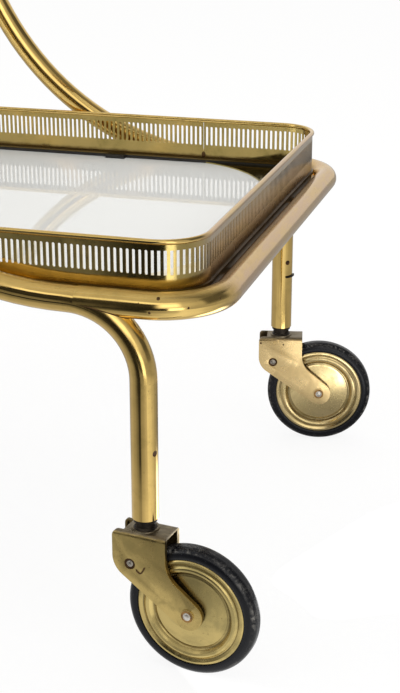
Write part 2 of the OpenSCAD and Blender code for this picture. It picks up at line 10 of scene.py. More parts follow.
import bmesh
import bpy
from mathutils import Matrix, Vector


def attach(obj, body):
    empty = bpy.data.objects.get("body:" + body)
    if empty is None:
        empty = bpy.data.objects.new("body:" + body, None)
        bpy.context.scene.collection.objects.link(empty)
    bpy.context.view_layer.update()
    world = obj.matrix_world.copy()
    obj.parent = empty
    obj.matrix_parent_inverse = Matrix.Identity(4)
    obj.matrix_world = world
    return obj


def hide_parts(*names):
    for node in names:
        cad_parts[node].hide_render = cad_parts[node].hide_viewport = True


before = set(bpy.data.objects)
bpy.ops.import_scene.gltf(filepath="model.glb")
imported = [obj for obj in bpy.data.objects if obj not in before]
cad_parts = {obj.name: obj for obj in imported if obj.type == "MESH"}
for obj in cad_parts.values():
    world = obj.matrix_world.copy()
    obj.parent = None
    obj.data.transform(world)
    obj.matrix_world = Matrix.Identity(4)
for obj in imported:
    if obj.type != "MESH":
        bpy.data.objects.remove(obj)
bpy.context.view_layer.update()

LOG = logging.getLogger("bar_cart")

Pair = tuple[float, float]
Triple = tuple[float, float, float]
Colour = Triple
Profile = list[Pair]
Socket = bpy.types.NodeSocket
Number = Union[Socket, float]
Paint = Union[Socket, Colour]
Value = Union[Socket, float, Colour]

UNSTRETCHED = (1.0, 1.0, 1.0)
WHITE = (1.0, 1.0, 1.0)
MM = 0.001
QUARTER = math.radians(90.0)
TIER_RISE = 0.524  # the upper tier above the lower one
END_X = (0.352, 0.366)  # where the painted pinkish reflection on the ends fades in, along the cart
END_Y = (-0.205, -0.165)  # and from the front to the back
BEAD_END = 0.15  # share of a bead's radius that is left at its ends
WELD = 1e-7  # points of a new form that are closer are one point
CAD_WELD = 2e-6  # the same in the copy of a CAD node
FLAT = math.radians(1.5)  # faces within this angle become one
SHARP = math.radians(40.0)  # edges sharper than this are rounded
ROUNDING_STEPS = 3
MIX_FIRST, MIX_SECOND = 6, 7  # the colour inputs of the mixer, whose names others share
MIX_RESULT = 2  # and its colour output


class Tier(Enum):
    """The two trays."""

    LOWER = "lower"
    UPPER = "upper"


class Corner(Enum):
    """The four legs: label, side along X, side along Y."""

    FRONT_RIGHT = ("front_right", 1, -1)
    BACK_RIGHT = ("back_right", 1, 1)
    FRONT_LEFT = ("front_left", -1, -1)
    BACK_LEFT = ("back_left", -1, 1)

    @property
    def label(self) -> str:
        """Name that the nodes of this corner start with."""
        return self.value[0]

    @property
    def side_x(self) -> int:
        """1 at the right end, -1 at the left end."""
        return self.value[1]

    @property
    def side_y(self) -> int:
        """1 at the back, -1 at the front."""
        return self.value[2]


@dataclass(frozen=True)
class Mottle:
    """A noise pattern, and the levels of it between which a mask fades in."""

    scale: float
    low: float
    high: float
    detail: float = 3.0
    rough: float = 0.55
    warp: float = 0.0
    faint: float = 0.0
    full: float = 1.0
    stretch: Triple = UNSTRETCHED


@dataclass(frozen=True)
class Relief:
    """A noise pattern that stands up from the surface, with its depth in metres."""

    scale: float
    depth: float
    detail: float = 2.0
    rough: float = 0.55
    warp: float = 0.0
    stretch: Triple = UNSTRETCHED


@dataclass(frozen=True)
class Ring:
    """Levels round the compass that hold from some distance or height on."""

    start: float
    full: float
    stops: Profile

    @property
    def turns(self) -> Profile:
        """The stops with their angles in radians."""
        return [(math.radians(turn), level) for turn, level in self.stops]


class ShaderSketch:
    """A material or world under construction, with short ways to add and join its nodes."""

    def __init__(self, name: str, world: bool = False) -> None:
        """Starts a node material or world that holds only its output.

        Args:
            name: Name of the material or world.
            world: True for a world.
        """
        self.material = (bpy.data.worlds if world else bpy.data.materials).new(name)
        self.material.use_nodes = True
        self.tree = self.material.node_tree
        self.tree.nodes.clear()
        kind = "ShaderNodeOutputWorld" if world else "ShaderNodeOutputMaterial"
        self.output = self.tree.nodes.new(kind)

    @cached_property
    def where(self) -> Socket:
        """Coordinates that stay with the piece when it moves."""
        return self.add("ShaderNodeTexCoord").outputs["Object"]

    def add(
        self, kind: str, feeds: Optional[dict[Union[str, int], Value]] = None, **settings: object,
    ) -> bpy.types.Node:
        """Adds one node.

        Args:
            kind: Blender's name for the node type.
            feeds: What its inputs take, by their names or numbers.
            **settings: Its properties, by their names.

        Returns:
            The new node.
        """
        node = self.tree.nodes.new(kind)
        for key, value in settings.items():
            setattr(node, key, value)
        for key, value in (feeds or {}).items():
            self.feed(node.inputs[key], value)
        return node

    def join(self, source: Socket, target: Socket) -> None:
        """Links one socket to another."""
        self.tree.links.new(source, target)

    def feed(self, target: Socket, value: Value) -> None:
        """Links a socket to the target, or sets the target to a plain value.

        Args:
            target: Input that takes the value.
            value: A socket, a number or a colour.
        """
        if isinstance(value, bpy.types.NodeSocket):
            self.join(value, target)
        elif isinstance(value, tuple):
            target.default_value = (*value, 1.0) if len(target.default_value) == 4 else value
        else:
            target.default_value = value

    def end(self, shader: Socket) -> Union[bpy.types.Material, bpy.types.World]:
        """Ends the sketch with its last shader and hands over what it has made."""
        self.join(shader, self.output.inputs["Surface"])
        return self.material

    def cloud(self, look: Union[Mottle, Relief]) -> Socket:
        """A noise value from 0 to 1.

        Args:
            look: Patches per metre, number of finer layers and their weight, warp and stretch.

        Returns:
            The noise value.
        """
        where = self.where
        if look.stretch != UNSTRETCHED:
            mapping = self.add("ShaderNodeMapping", {"Vector": where, "Scale": look.stretch})
            where = mapping.outputs["Vector"]
        return self.add("ShaderNodeTexNoise", {
            "Vector": where,
            "Scale": look.scale,
            "Detail": look.detail,
            "Roughness": look.rough,
            "Distortion": look.warp,
        }).outputs["Fac"]

    def mottle(self, look: Mottle) -> Socket:
        """A mottled mask between the two levels of a pattern."""
        return self.span(self.cloud(look), look.low, look.high, look.faint, look.full)

    def span(
        self, value: Socket, low: float, high: float, out_low: float = 0.0, out_high: float = 1.0,
    ) -> Socket:
        """Maps a value smoothly from one range to another.

        Args:
            value: Value to map.
            low: Value that gives out_low.
            high: Value that gives out_high.
            out_low: Result at and below low.
            out_high: Result at and above high.

        Returns:
            The mapped value.
        """
        feeds = {
            "Value": value,
            "From Min": low,
            "From Max": high,
            "To Min": out_low,
            "To Max": out_high,
        }
        node = self.add("ShaderNodeMapRange", feeds, interpolation_type="SMOOTHSTEP")
        return node.outputs["Result"]

    def maths(self, operation: str, left: Number, right: Number = 0.0) -> Socket:
        """One arithmetic step, under Blender's name for the operation."""
        return self.add("ShaderNodeMath", {0: left, 1: right}, operation=operation).outputs["Value"]

    def product(self, *values: Number) -> Socket:
        """Multiplies values."""
        return reduce(partial(self.maths, "MULTIPLY"), values)

    def total(self, *values: Number) -> Socket:
        """Adds values."""
        return reduce(partial(self.maths, "ADD"), values)

    def larger(self, *values: Number) -> Socket:
        """The largest of some values."""
        return reduce(partial(self.maths, "MAXIMUM"), values)

    def rest(self, value: Socket) -> Socket:
        """What a value lacks to 1."""
        return self.maths("SUBTRACT", 1.0, value)

    def split(self, where: Socket) -> tuple[Socket, Socket, Socket]:
        """The X, Y and Z of a vector."""
        parts = self.add("ShaderNodeSeparateXYZ", {"Vector": where}).outputs
        return parts["X"], parts["Y"], parts["Z"]

    def steps(self, value: Socket, stops: Sequence[Pair]) -> Socket:
        """Follows a table of levels, smoothly between its stops.

        Args:
            value: Value to look up.
            stops: Values in rising order, each with its level.

        Returns:
            The level at the value.
        """
        level = self.span(value, stops[0][0], stops[1][0], stops[0][1], stops[1][1])
        for (low, before), (high, after) in zip(stops[1:], stops[2:]):
            level = self.total(level, self.span(value, low, high, 0.0, after - before))
        return level

    def rings(self, bearing: Socket, reach: Socket, tables: Sequence[Ring]) -> Socket:
        """Follows several tables round the compass, one further out than the other.

        Args:
            bearing: Angle from +X, in radians.
            reach: Distance or height that picks the table.
            tables: The tables, from the innermost.

        Returns:
            The level at the bearing and reach.
        """
        level = self.steps(bearing, tables[0].turns)
        for ring in tables[1:]:
            change = self.maths("SUBTRACT", self.steps(bearing, ring.turns), level)
            level = self.total(level, self.product(self.span(reach, ring.start, ring.full), change))
        return level

    def ends(self) -> Socket:
        """The two ends of the cart, where a pinkish reflection and, low on the gallery ends, shade
        are painted into the brass, which is rougher there.

        Returns:
            1 along the end runs of tray and bows and round their back corners, 0 elsewhere.
        """
        x, y, _ = self.split(self.where)
        return self.product(self.span(self.maths("ABSOLUTE", x), *END_X), self.span(y, *END_Y))

    def above_tier(self) -> Socket:
        """Height that reads the same on the upper tier as on the lower one."""
        return self.maths("MODULO", self.split(self.where)[2], TIER_RISE)

    def blend(self, share: Socket, first: Paint, second: Paint) -> Socket:
        """Mixes two colours: the first where the share is 0, the second where it is 1."""
        feeds = {"Factor": share, MIX_FIRST: first, MIX_SECOND: second}
        return self.add("ShaderNodeMix", feeds, data_type="RGBA").outputs[MIX_RESULT]

    def either(self, share: Socket, first: Socket, second: Socket) -> Socket:
        """Mixes two shaders: the first where the share is 0, the second where it is 1."""
        return self.add("ShaderNodeMixShader", {0: share, 1: first, 2: second}).outputs["Shader"]

    def bumped(self, layers: Sequence[Relief]) -> Socket:
        """Lays one relief over another.

        Args:
            layers: Reliefs from the coarsest to the finest.

        Returns:
            The bumped normal.
        """
        normal = None
        for layer in layers:
            feeds = {"Strength": 1.0, "Distance": layer.depth, "Height": self.cloud(layer)}
            if normal is not None:
                feeds["Normal"] = normal
            normal = self.add("ShaderNodeBump", feeds).outputs["Normal"]
        return normal

    def surface(self, **values: Value) -> bpy.types.Material:
        """Ends the sketch with a principled surface, fed by name with underscores for spaces."""
        feeds = {key.replace("_", " "): value for key, value in values.items()}
        return self.end(self.add("ShaderNodeBsdfPrincipled", feeds).outputs["BSDF"])


@dataclass(frozen=True)
class AgedBrass:
    """Brass that was polished once and has gone patchy with age, with a pinkish reflection painted
    on at the cart's ends.
    """

    name: str
    bright: Colour
    dull: Colour
    stain: Colour
    gloss: float
    haze: float
    coat: float = 0.25
    coat_rough: float = 0.08
    # painted reflection: pinkish tint laid into the brass at the cart's ends
    painted_end_reflection: Colour = (0.65, 0.46, 0.285)
    patches: Mottle = Mottle(16.0, 0.36, 0.66, detail=5.0, rough=0.6, warp=0.6)
    wiping: Mottle = Mottle(112.0, 0.3, 0.75, detail=4.0, rough=0.6)
    spots: Mottle = Mottle(420.0, 0.6, 0.72, rough=0.6)
    soiling: Mottle = Mottle(36.8, 0.48, 0.74, detail=4.0, rough=0.65)
    streaks: Mottle = Mottle(
        80.0, 0.38, 0.62, detail=4.0, rough=0.7, warp=0.3, faint=0.5, stretch=(1.0, 0.22, 1.0),
    )
    stained: float = 0.5
    stain_rough: float = 0.25
    dust: float = 0.24
    dust_from: Pair = (0.2885, 0.2905)
    dust_to: Pair = (0.2975, 0.3010)
    relief: tuple[Relief, ...] = (
        Relief(34.0, 0.00008, rough=0.5), Relief(1400.0, 0.000003, rough=0.5),
    )

    def material(self) -> bpy.types.Material:
        """Builds the finish.

        Returns:
            The material.
        """
        sketch = ShaderSketch(self.name)
        ends = sketch.ends()
        patch = sketch.mottle(self.patches)
        stain = sketch.product(sketch.mottle(self.spots), sketch.mottle(self.soiling), self.stained)
        streaks = sketch.mottle(self.streaks)
        worn = sketch.product(patch, sketch.mottle(self.wiping))
        tone = sketch.blend(worn, self.bright, self.dull)
        # painted reflection: the pinkish tint, broken by streaks, over the ends
        tone = sketch.blend(sketch.product(ends, streaks), tone, self.painted_end_reflection)
        rough = sketch.total(
            sketch.span(sketch.larger(patch, ends), 0.0, 1.0, self.gloss, self.haze),
            sketch.product(stain, self.stain_rough),
            self.dust_beside_tray(sketch, ends),
        )
        return sketch.surface(
            Base_Color=sketch.blend(stain, tone, self.stain),
            Metallic=1.0,
            Roughness=rough,
            Coat_Weight=self.coat,
            Coat_Roughness=self.coat_rough,
            Normal=sketch.bumped(self.relief),
        )

    def dust_beside_tray(self, sketch: ShaderSketch, ends: Socket) -> Socket:
        """Dust on top of the tubes along the foot of each gallery, which blurs what they mirror.

        Args:
            sketch: Material under construction.
            ends: Mask of the cart's ends, which have none.

        Returns:
            What the dust adds to the roughness.
        """
        height = sketch.above_tier()
        return sketch.product(
            sketch.span(height, *self.dust_from),
            sketch.span(height, *self.dust_to, self.dust, 0.0),
            sketch.rest(ends),
        )


@dataclass(frozen=True)
class GussetBrass:
    """Brass of the corner plates: polished pale at the front, tarnished at the back."""

    name: str
    polished: Colour = (0.93, 0.87, 0.70)
    rubbed: Colour = (0.80, 0.70, 0.48)
    aged: Colour = (0.46, 0.37, 0.13)
    dull: Colour = (0.32, 0.27, 0.09)
    change_y: Pair = (-0.12, -0.06)
    gloss: float = 0.09
    haze: float = 0.20
    patches: Mottle = Mottle(60.0, 0.35, 0.68, detail=5.0, rough=0.65, warp=0.4)
    relief: tuple[Relief, ...] = (Relief(60.0, 0.0001),)

    def material(self) -> bpy.types.Material:
        """Builds the finish.

        Returns:
            The material.
        """
        sketch = ShaderSketch(self.name)
        patch = sketch.mottle(self.patches)
        front = sketch.blend(patch, self.polished, self.rubbed)
        behind = sketch.blend(patch, self.aged, self.dull)
        change = sketch.span(sketch.split(sketch.where)[1], *self.change_y)
        return sketch.surface(
            Base_Color=sketch.blend(change, front, behind),
            Metallic=1.0,
            Roughness=sketch.span(patch, 0.0, 1.0, self.gloss, self.haze),
            Normal=sketch.bumped(self.relief),
        )


@dataclass(frozen=True)
class FilmedBrass:
    """Thin pierced brass with tarnish that gathers at its foot, painted shade low on the walls at
    the cart's ends, and a painted pinkish reflection on those ends.
    """

    name: str
    bright: Colour
    dull: Colour
    foot: Colour
    gloss: float
    haze: float
    coat: float = 0.25
    coat_rough: float = 0.08
    # painted reflection on the ends, and its share
    painted_end_reflection: Colour = (0.61, 0.48, 0.31)
    painted_reflection_share: float = 0.9
    film: float = 0.75
    film_z: Pair = (0.289, 0.2925)
    # painted shade: the end walls darken from the foot up to shade_z
    shade: float = 0.95
    shade_z: Pair = (0.290, 0.318)
    darkening_rough: float = 0.2
    patches: Mottle = Mottle(26.0, 0.35, 0.7, detail=5.0, rough=0.6, warp=0.5)
    ragged: Mottle = Mottle(90.0, 0.0, 1.0, faint=-0.0015, full=0.0015)
    spots: Mottle = Mottle(500.0, 0.58, 0.72, rough=0.6, full=0.5)
    relief: tuple[Relief, ...] = (
        Relief(40.0, 0.00006, rough=0.5), Relief(1300.0, 0.000003, rough=0.5),
    )

    def material(self) -> bpy.types.Material:
        """Builds the finish.

        Returns:
            The material.
        """
        sketch = ShaderSketch(self.name)
        ends = sketch.ends()
        patch = sketch.mottle(self.patches)
        height = sketch.total(sketch.above_tier(), sketch.mottle(self.ragged))
        # darkening: real tarnish along the foot, spots, and painted shade low on the end walls
        darkening = sketch.larger(
            sketch.span(height, *self.film_z, self.film, 0.0),
            sketch.product(sketch.mottle(self.spots), patch),
            sketch.product(ends, sketch.span(height, *self.shade_z, self.shade, 0.0)),
        )
        tone = sketch.blend(patch, self.bright, self.dull)
        # painted reflection: pinkish tint on the ends
        tone = sketch.blend(sketch.product(ends, self.painted_reflection_share), tone, self.painted_end_reflection)
        rough = sketch.span(patch, 0.0, 1.0, self.gloss, self.haze)
        return sketch.surface(
            Base_Color=sketch.blend(darkening, tone, self.foot),
            Metallic=1.0,
            Roughness=sketch.total(rough, sketch.product(darkening, self.darkening_rough)),
            Coat_Weight=self.coat,
            Coat_Roughness=self.coat_rough,
            Normal=sketch.bumped(self.relief),
        )


@dataclass(frozen=True)
class DullSteel:
    """Plain, darkened or stained metal with worn spots."""

    name: str
    clean: Colour
    worn: Colour
    rough: float
    wear_rough: float = 0.2
    metallic: float = 0.9
    wear: Mottle = Mottle(160.0, 0.4, 0.68, detail=4.0, rough=0.6)
    relief: tuple[Relief, ...] = (Relief(700.0, 0.00002, detail=3.0),)

    def material(self) -> bpy.types.Material:
        """Builds the finish.

        Returns:
            The material.
        """
        sketch = ShaderSketch(self.name)
        wear = sketch.mottle(self.wear)
        return sketch.surface(
            Base_Color=sketch.blend(wear, self.clean, self.worn),
            Metallic=self.metallic,
            Roughness=sketch.span(wear, 0.0, 1.0, self.rough, self.rough + self.wear_rough),
            Normal=sketch.bumped(self.relief),
        )


@dataclass(frozen=True)
class ScuffedRubber:
    """Black rubber, greyed where it has rubbed."""

    name: str
    black: Colour
    scuff: Colour
    rough: float
    scuff_rough: float = 0.25
    least_scuff: float = 0.35
    rubbing: Mottle = Mottle(55.0, 0.5, 0.78, detail=5.0, rough=0.7, warp=0.8)
    flecks: Mottle = Mottle(420.0, 0.55, 0.75, rough=0.6)
    relief: tuple[Relief, ...] = (Relief(650.0, 0.00006, detail=4.0, rough=0.6),)

    def material(self) -> bpy.types.Material:
        """Builds the finish.

        Returns:
            The material.
        """
        sketch = ShaderSketch(self.name)
        rubbed = sketch.mottle(self.rubbing)
        flecks = sketch.total(sketch.mottle(self.flecks), self.least_scuff)
        return sketch.surface(
            Base_Color=sketch.blend(sketch.product(rubbed, flecks), self.black, self.scuff),
            Roughness=sketch.span(rubbed, 0.0, 1.0, self.rough, self.rough + self.scuff_rough),
            Normal=sketch.bumped(self.relief),
        )


@dataclass(frozen=True)
class WheelPlace:
    """Where a wheel's axle lies, so that its finishes can follow the rings of the wheel."""

    centre: Triple
    axis: Triple

    def rings(self, sketch: ShaderSketch) -> tuple[Socket, Socket]:
        """Measures from the axle.

        Args:
            sketch: Material under construction.

        Returns:
            Distance from the axle's line, and distance from the wheel's middle plane.
        """
        kind = "ShaderNodeVectorMath"
        away = sketch.add(kind, {0: sketch.where, 1: self.centre}, operation="SUBTRACT")
        offset = away.outputs["Vector"]
        across = sketch.add(kind, {0: offset, 1: self.axis}, operation="DOT_PRODUCT")
        side = across.outputs["Value"]
        length = sketch.add(kind, {0: offset}, operation="LENGTH").outputs["Value"]
        whole = sketch.maths("POWER", length, 2.0)
        square = sketch.maths("SUBTRACT", whole, sketch.product(side, side))
        return sketch.maths("SQRT", sketch.larger(square, 0.0)), sketch.maths("ABSOLUTE", side)


@dataclass(frozen=True)
class HubBrass:
    """Brass of a wheel disc: rubbed on its ridges, tarnished in its grooves."""

    name: str
    place: WheelPlace
    bright: Colour = (0.70, 0.54, 0.22)
    dull: Colour = (0.50, 0.40, 0.17)
    tarnish: Colour = (0.13, 0.095, 0.04)
    gloss: float = 0.15
    haze: float = 0.30
    darkening_rough: float = 0.2
    grooves: tuple[Pair, ...] = (
        (0.0304, 0.0016), (0.0382, 0.0009), (0.0428, 0.0007), (0.0290, 0.0007),
    )
    groove_dirt: float = 0.85
    clouding: Mottle = Mottle(32.0, 0.35, 0.68, detail=5.0, rough=0.6, warp=0.5)
    specks: Mottle = Mottle(300.0, 0.62, 0.74, detail=4.0, rough=0.65, full=0.45)
    breaks: Mottle = Mottle(60.0, 0.3, 0.7, detail=4.0, rough=0.65, faint=0.45)
    relief: tuple[Relief, ...] = (Relief(46.0, 0.00008), Relief(900.0, 0.000003, rough=0.5))

    def material(self) -> bpy.types.Material:
        """Builds the finish.

        Returns:
            The material.
        """
        sketch = ShaderSketch(self.name)
        out, _ = self.place.rings(sketch)
        darkening = sketch.mottle(self.specks)
        breaks = sketch.mottle(self.breaks)
        for radius, half in self.grooves:
            away = sketch.maths("ABSOLUTE", sketch.maths("SUBTRACT", out, radius))
            groove = sketch.span(away, 0.0, half, self.groove_dirt, 0.0)
            darkening = sketch.larger(darkening, sketch.product(groove, breaks))
        cloudy = sketch.mottle(self.clouding)
        tone = sketch.blend(cloudy, self.bright, self.dull)
        rough = sketch.span(cloudy, 0.0, 1.0, self.gloss, self.haze)
        return sketch.surface(
            Base_Color=sketch.blend(darkening, tone, self.tarnish),
            Metallic=1.0,
            Roughness=sketch.total(rough, sketch.product(darkening, self.darkening_rough)),
            Normal=sketch.bumped(self.relief),
        )


@dataclass(frozen=True)
class ForkBrass:
    """Pressed brass sheet, worn light on the cheeks and dark on the top plate, with painted shade
    on the inner faces of its turned-in edges and a darker band along its fold.
    """

    name: str
    place: WheelPlace
    bright: Colour = (0.70, 0.52, 0.23)
    dull: Colour = (0.54, 0.41, 0.18)
    plate: Colour = (0.22, 0.18, 0.12)
    plate_worn: Colour = (0.36, 0.30, 0.20)
    # stain: colour of the pits, the fold band and the painted shade on the turned-in edges
    stain: Colour = (0.07, 0.045, 0.02)
    plate_z: Pair = (0.1078, 0.1092)
    fold_z: Pair = (0.1062, 0.1078)
    fold_darkening: float = 0.65
    # painted shade: faces nearer the middle plane than the cheeks' outsides darken, below the top
    # plate
    inner: Pair = (0.0112, 0.0122)
    inner_shade: float = 0.8
    gloss: float = 0.24
    haze: float = 0.40
    darkening_rough: float = 0.12
    ragged: Mottle = Mottle(260.0, 0.2, 0.8, detail=4.0, rough=0.6, faint=-0.0006, full=0.0006)
    patches: Mottle = Mottle(55.0, 0.35, 0.68, detail=5.0, rough=0.65, warp=0.5)
    plate_wear: Mottle = Mottle(
        120.0, 0.5, 0.72, detail=4.0, rough=0.65, stretch=(1.0, 2.5, 1.0),
    )
    pits: Mottle = Mottle(620.0, 0.63, 0.72, rough=0.6, full=0.8)
    pitting: Mottle = Mottle(70.0, 0.42, 0.62, rough=0.6, faint=0.15)
    relief: tuple[Relief, ...] = (
        Relief(60.0, 0.0001), Relief(480.0, 0.00002, detail=4.0, rough=0.6),
    )

    def material(self) -> bpy.types.Material:
        """Builds the finish.

        Returns:
            The material.
        """
        sketch = ShaderSketch(self.name)
        height = sketch.total(sketch.split(sketch.where)[2], sketch.mottle(self.ragged))
        top = sketch.span(height, *self.plate_z)
        # a darker band just below the top plate, along its fold
        fold = sketch.product(
            sketch.span(height, *self.fold_z),
            sketch.span(height, *self.plate_z, self.fold_darkening, 0.0),
        )
        _, side = self.place.rings(sketch)
        # darkening: pits, and painted shade on the turned-in edges
        darkening = sketch.larger(
            sketch.product(sketch.mottle(self.pits), sketch.mottle(self.pitting)),
            sketch.product(sketch.span(side, *self.inner, self.inner_shade, 0.0), sketch.rest(top)),
        )
        patch = sketch.mottle(self.patches)
        plate_wear = sketch.mottle(self.plate_wear)
        tone = sketch.blend(
            top,
            sketch.blend(patch, self.bright, self.dull),
            sketch.blend(plate_wear, self.plate, self.plate_worn),
        )
        rough = sketch.total(
            sketch.span(patch, 0.0, 1.0, self.gloss, self.haze),
            sketch.product(sketch.larger(top, darkening), self.darkening_rough),
        )
        return sketch.surface(
            Base_Color=sketch.blend(sketch.larger(darkening, fold), tone, self.stain),
            Metallic=1.0,
            Roughness=rough,
            Normal=sketch.bumped(self.relief),
        )


@dataclass(frozen=True)
class TyreRubber:
    """Black tyre rubber, scuffed grey along its shoulders."""

    name: str
    place: WheelPlace
    black: Colour = (0.004, 0.0043, 0.006)
    scuff: Colour = (0.22, 0.21, 0.19)
    shoulder_in: Pair = (0.0478, 0.0497)
    shoulder_out: Pair = (0.0500, 0.0512)
    tread: float = 0.25
    rubbed_scuff: float = 0.75
    least_scuff: float = 0.15
    rough: Pair = (0.25, 0.75)
    specular: float = 0.26
    ragged: Mottle = Mottle(210.0, 0.44, 0.66, detail=5.0, rough=0.75, warp=0.6)
    rubbing: Mottle = Mottle(30.0, 0.42, 0.66, detail=4.0, rough=0.7)
    flecks: Mottle = Mottle(700.0, 0.66, 0.78, rough=0.6, full=0.35)
    relief: tuple[Relief, ...] = (Relief(520.0, 0.00005, detail=4.0, rough=0.6),)

    def material(self) -> bpy.types.Material:
        """Builds the finish.

        Returns:
            The material.
        """
        sketch = ShaderSketch(self.name)
        out, _ = self.place.rings(sketch)
        shoulder = sketch.product(
            sketch.span(out, *self.shoulder_in),
            sketch.span(out, *self.shoulder_out, 1.0, self.tread),
        )
        rubbed = sketch.mottle(self.rubbing)
        wear = sketch.total(sketch.product(rubbed, self.rubbed_scuff), self.least_scuff)
        share = sketch.larger(
            sketch.product(shoulder, sketch.mottle(self.ragged), wear),
            sketch.product(sketch.mottle(self.flecks), rubbed),
        )
        return sketch.surface(
            Base_Color=sketch.blend(share, self.black, self.scuff),
            Roughness=sketch.span(share, 0.0, 1.0, *self.rough),
            Specular_IOR_Level=self.specular,
            Normal=sketch.bumped(self.relief),
        )


@dataclass(frozen=True)
class OpalGlass:
    """White glass, glossy, with faint smears."""

    name: str
    white: Colour
    smear: Colour
    rough: Pair = (0.02, 0.07)
    wiping: Mottle = Mottle(
        9.0, 0.4, 0.75, detail=4.0, rough=0.6, warp=1.2, stretch=(1.0, 3.0, 1.0),
    )
    dust: Mottle = Mottle(700.0, 0.66, 0.78, detail=2.0)
    relief: tuple[Relief, ...] = (Relief(5.0, 0.0002, detail=1.0),)

    def material(self) -> bpy.types.Material:
        """Builds the finish.

        Returns:
            The material.
        """
        sketch = ShaderSketch(self.name)
        wiped = sketch.mottle(self.wiping)
        dust = sketch.mottle(self.dust)
        return sketch.surface(
            Base_Color=sketch.blend(sketch.product(dust, wiped), self.white, self.smear),
            Roughness=sketch.span(wiped, 0.0, 1.0, *self.rough),
            Normal=sketch.bumped(self.relief),
        )


class Finishes:
    """Every finish of the cart, built once."""

    def __init__(self) -> None:
        """Builds the materials."""
        self.frame = AgedBrass(
            "frame_brass", bright=(0.77, 0.53, 0.17), dull=(0.56, 0.39, 0.12),
            stain=(0.16, 0.10, 0.03), gloss=0.07, haze=0.16,
        ).material()
        self.bow = AgedBrass(
            "bow_brass", bright=(0.77, 0.54, 0.18), dull=(0.58, 0.41, 0.13),
            stain=(0.14, 0.09, 0.03), gloss=0.11, haze=0.19, coat=0.0,
        ).material()
        self.brazed = AgedBrass(
            "brazed_brass", bright=(0.52, 0.36, 0.12), dull=(0.36, 0.25, 0.08),
            stain=(0.10, 0.06, 0.02), gloss=0.28, haze=0.45,
        ).material()
        self.bead = AgedBrass(
            "bead_brass", bright=(0.77, 0.54, 0.18), dull=(0.56, 0.40, 0.13),
            stain=(0.16, 0.10, 0.03), gloss=0.08, haze=0.18,
        ).material()
        self.gallery = FilmedBrass(
            "gallery_brass", bright=(0.60, 0.44, 0.15), dull=(0.42, 0.32, 0.10),
            foot=(0.12, 0.07, 0.02), gloss=0.07, haze=0.16,
        ).material()
        self.channel = FilmedBrass(
            "channel_brass", bright=(0.42, 0.32, 0.11), dull=(0.29, 0.23, 0.08),
            foot=(0.10, 0.06, 0.02), gloss=0.20, haze=0.34,
        ).material()
        self.gusset = GussetBrass("gusset_brass").material()
        self.socket = DullSteel(
            "socket_steel", (0.30, 0.28, 0.25), (0.20, 0.17, 0.13), 0.4,
        ).material()
        self.dark = DullSteel(
            "dark_steel", (0.022, 0.018, 0.014), (0.06, 0.048, 0.036), 0.42,
        ).material()
        self.steel = DullSteel(
            "rivet_steel", (0.66, 0.63, 0.57), (0.42, 0.38, 0.32), 0.24,
        ).material()
        self.rubber = ScuffedRubber(
            "black_rubber", black=(0.012, 0.011, 0.010), scuff=(0.03, 0.03, 0.028), rough=0.6,
        ).material()
        self.rust = DullSteel(
            "brown_stain", (0.075, 0.04, 0.018), (0.16, 0.09, 0.04), 0.5,
        ).material()
        self.orange = DullSteel(
            "orange_stain", (0.38, 0.21, 0.07), (0.20, 0.11, 0.04), 0.36,
        ).material()
        self.rivet = DullSteel(
            "dull_rivets", (0.40, 0.37, 0.32), (0.24, 0.21, 0.17), 0.24,
        ).material()
        self.screw = DullSteel(
            "brown_screws", (0.10, 0.05, 0.025), (0.04, 0.025, 0.015), 0.35,
        ).material()
        self.glass = OpalGlass("opal_glass", (0.80, 0.815, 0.81), (0.70, 0.70, 0.68)).material()


def dress(node: str, material: bpy.types.Material) -> None:
    """Gives a CAD node its finish.

    Args:
        node: Name of the node.
        material: Finish of all its faces.
    """
    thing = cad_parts[node]
    for slot in thing.material_slots:
        slot.material = material
    LOG.info("dressed %s in %s", node, material.name)


def show(name: str, data: bpy.types.ID) -> bpy.types.Object:
    """Puts a new object with some mesh, lamp or camera into the scene.

    Args:
        name: Name of the object.
        data: What it shows.

    Returns:
        The object.
    """
    thing = bpy.data.objects.new(name, data)
    bpy.context.scene.collection.objects.link(thing)
    return thing


